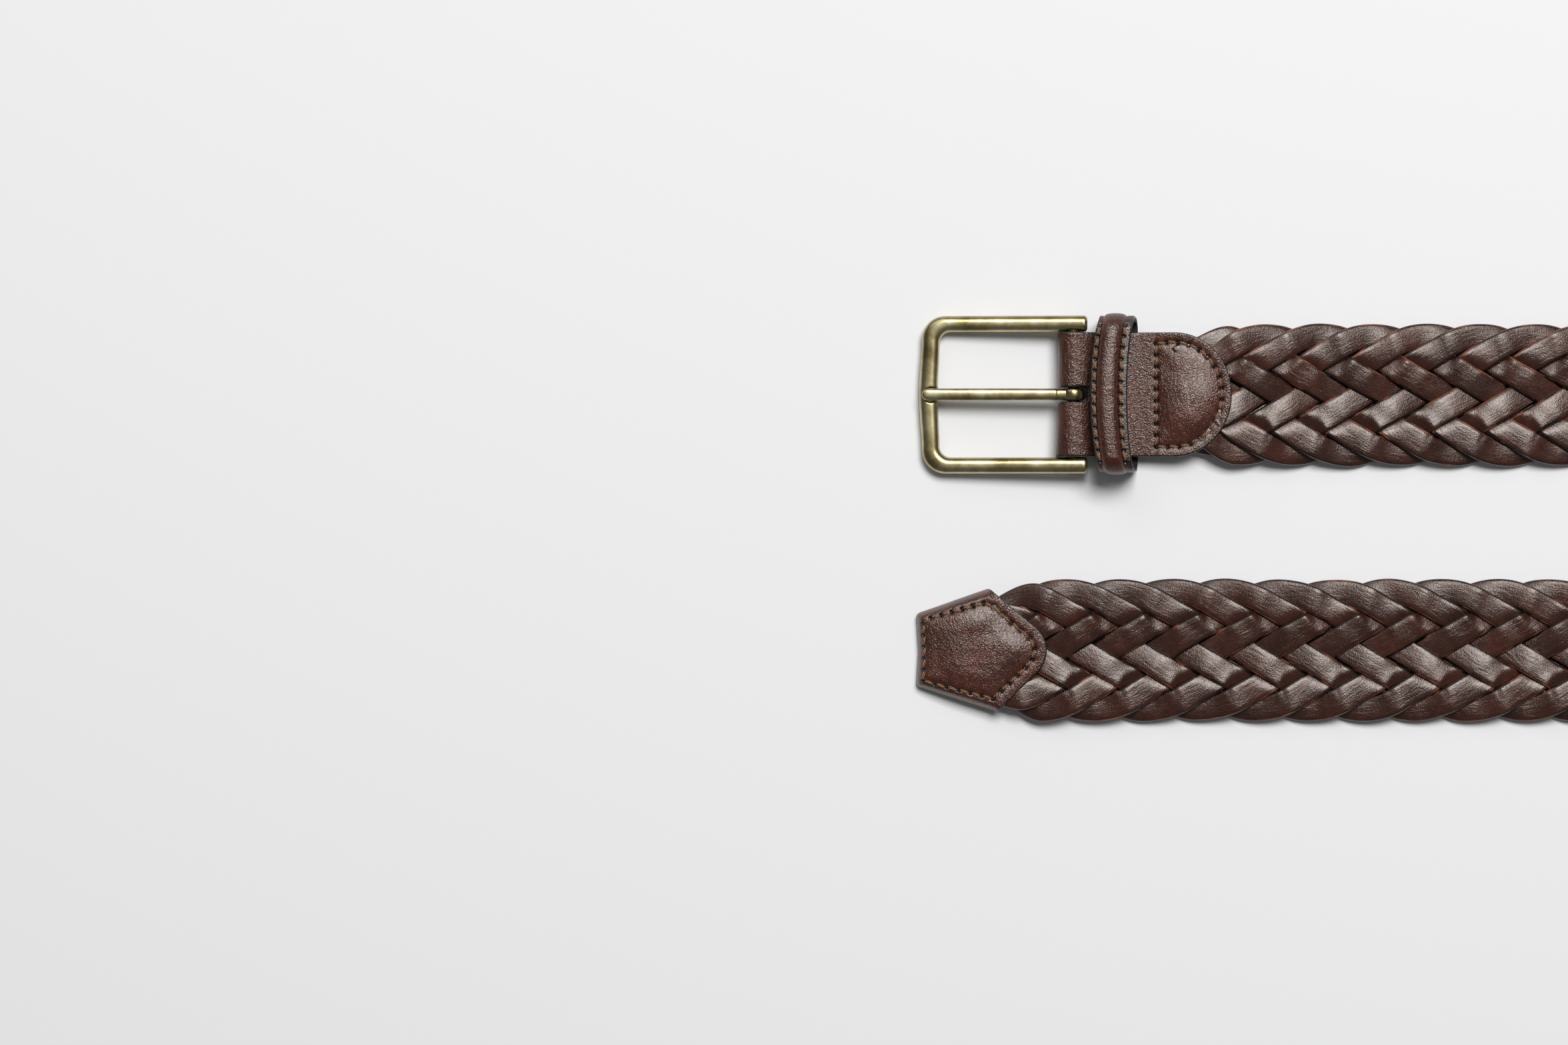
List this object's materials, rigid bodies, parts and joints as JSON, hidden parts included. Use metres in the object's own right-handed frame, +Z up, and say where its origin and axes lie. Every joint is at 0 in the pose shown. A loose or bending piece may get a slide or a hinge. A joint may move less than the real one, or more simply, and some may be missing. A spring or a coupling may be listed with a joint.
{
  "type": "belt",
  "caption": "Braided brown leather belt with a brass prong buckle, stitched end tabs and a keeper loop, lying in a long U.",
  "frame": {"origin": "on the table, under the middle of the belt's outline", "axes": "+X from the buckle and tip ends towards the bend, +Y from the tip's run to the buckle's run, +Z up"},
  "size_m": [0.4987, 0.1145, 0.0397],
  "materials": {
    "braid_leather": "semi-gloss dark brown with raw red-brown cut edges",
    "tab_leather": "smooth red-brown, fine grain, black painted edges",
    "keeper_leather": "smooth red-brown over a raised rib",
    "lining_leather": "dark lining",
    "filler": "plain filler cord",
    "thread": "tan waxed thread",
    "brass": "satin antique brass"
  },
  "bodies": {
    "strap": {"buckle_tab": "tab_leather", "buckle_tab_stitching": "thread", "tip_tab_front": "tab_leather", "tip_tab_back": "tab_leather", "tip_tab_stitching": "thread", "strand_1": "braid_leather", "strand_2": "braid_leather", "strand_3": "braid_leather", "strand_4": "braid_leather", "strand_5": "braid_leather", "strand_6": "braid_leather", "strand_7": "braid_leather", "strand_8": "braid_leather", "strand_9": "braid_leather"},
    "buckle": {"buckle_frame": "brass", "heel_bar": "brass"},
    "prong": {"prong": "brass"},
    "keeper": {"keeper_cover": "keeper_leather", "keeper_lining": "lining_leather", "keeper_core": "filler", "keeper_stitching_left": "thread", "keeper_stitching_right": "thread"}
  },
  "joints": [
    {"name": "buckle_swing", "type": "hinge", "parent": "strap", "child": "buckle", "pos_m": [-0.2054, 0.036, 0.00555], "axis": [0, 1, 0], "range_deg": [0, 36]},
    {"name": "prong_swing", "type": "hinge", "parent": "buckle", "child": "prong", "pos_m": [-0.2054, 0.036, 0.00555], "axis": [0, 1, 0], "range_deg": [0, 62]},
    {"name": "keeper_slide", "type": "slide", "parent": "strap", "child": "keeper", "axis": [1, 0, 0], "range_m": [0, 0.0025]}
  ]
}
